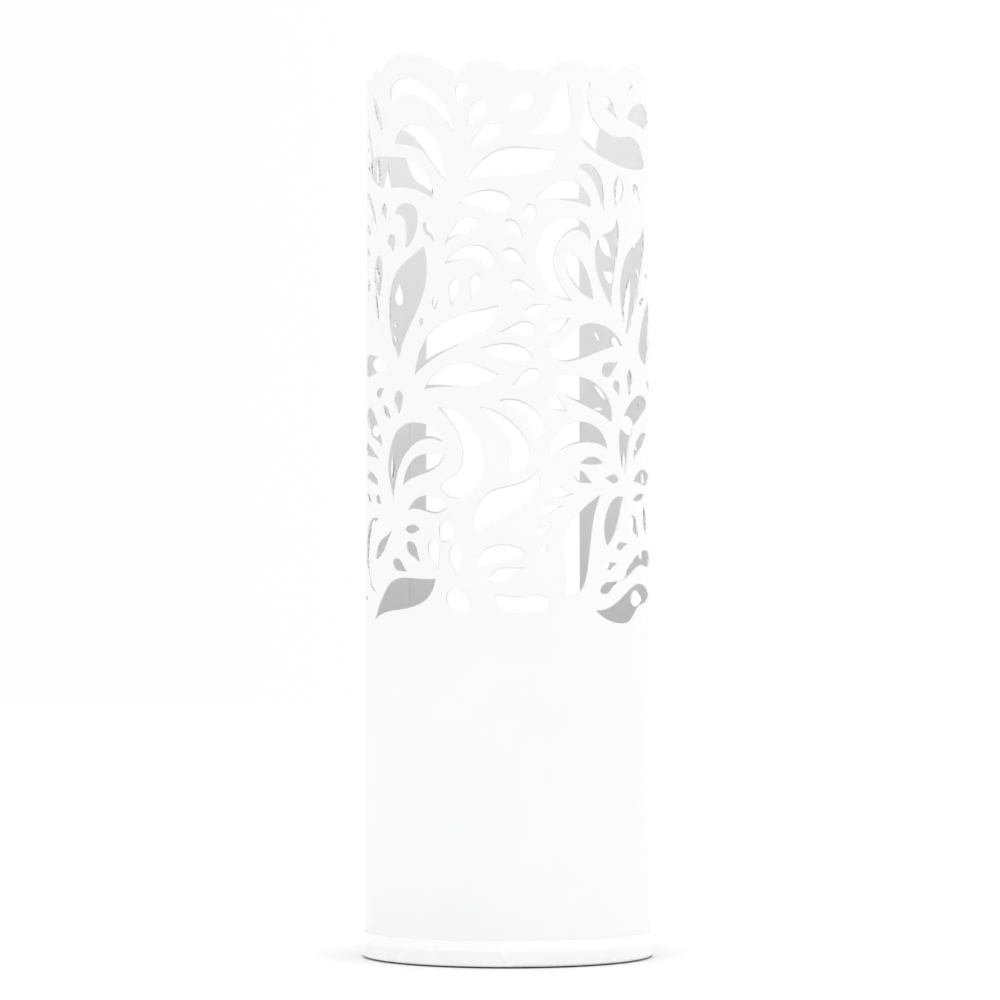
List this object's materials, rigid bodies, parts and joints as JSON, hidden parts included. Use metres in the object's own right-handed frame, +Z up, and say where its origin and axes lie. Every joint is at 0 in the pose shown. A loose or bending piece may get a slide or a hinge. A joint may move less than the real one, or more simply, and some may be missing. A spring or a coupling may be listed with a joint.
{
  "type": "umbrella stand",
  "caption": "Slim round umbrella stand: a white rolled sheet-steel wall with leaf-shaped cutouts and a scalloped rim, in a moulded base ring with a lift-out drip tray.",
  "frame": {"origin": "on the floor, on the axis of the round wall", "axes": "+Z up along the wall's axis; -Y towards the front of the cutout pattern; +X to the right seen from the front"},
  "size_m": [0.1586, 0.1586, 0.486],
  "materials": {
    "white_powder_coat": "satin powder coat",
    "white_moulded_plastic": "semi-gloss moulded",
    "zinc_plated_steel": "bright zinc plate",
    "zinc_plated_fastener": "bright zinc plate",
    "foot_rubber": "matt",
    "tray_plastic": "satin moulded"
  },
  "bodies": {
    "stand": {"wall_sheet": "white_powder_coat", "seam_weld": "white_powder_coat", "base_skirt": "white_moulded_plastic", "floor_plate": "zinc_plated_steel", "base_screw_1": "zinc_plated_fastener", "base_screw_2": "zinc_plated_fastener", "base_screw_3": "zinc_plated_fastener", "base_screw_4": "zinc_plated_fastener", "weld_nut_1": "zinc_plated_fastener", "weld_nut_2": "zinc_plated_fastener", "weld_nut_3": "zinc_plated_fastener", "weld_nut_4": "zinc_plated_fastener", "foot_pad_1": "foot_rubber", "foot_pad_2": "foot_rubber", "foot_pad_3": "foot_rubber", "foot_pad_4": "foot_rubber"},
    "drip_tray": {"drip_tray": "tray_plastic"}
  },
  "joints": [
    {"name": "tray_lift", "type": "slide", "parent": "stand", "child": "drip_tray", "axis": [0, 0, 1], "range_m": [0, 0.5]}
  ]
}
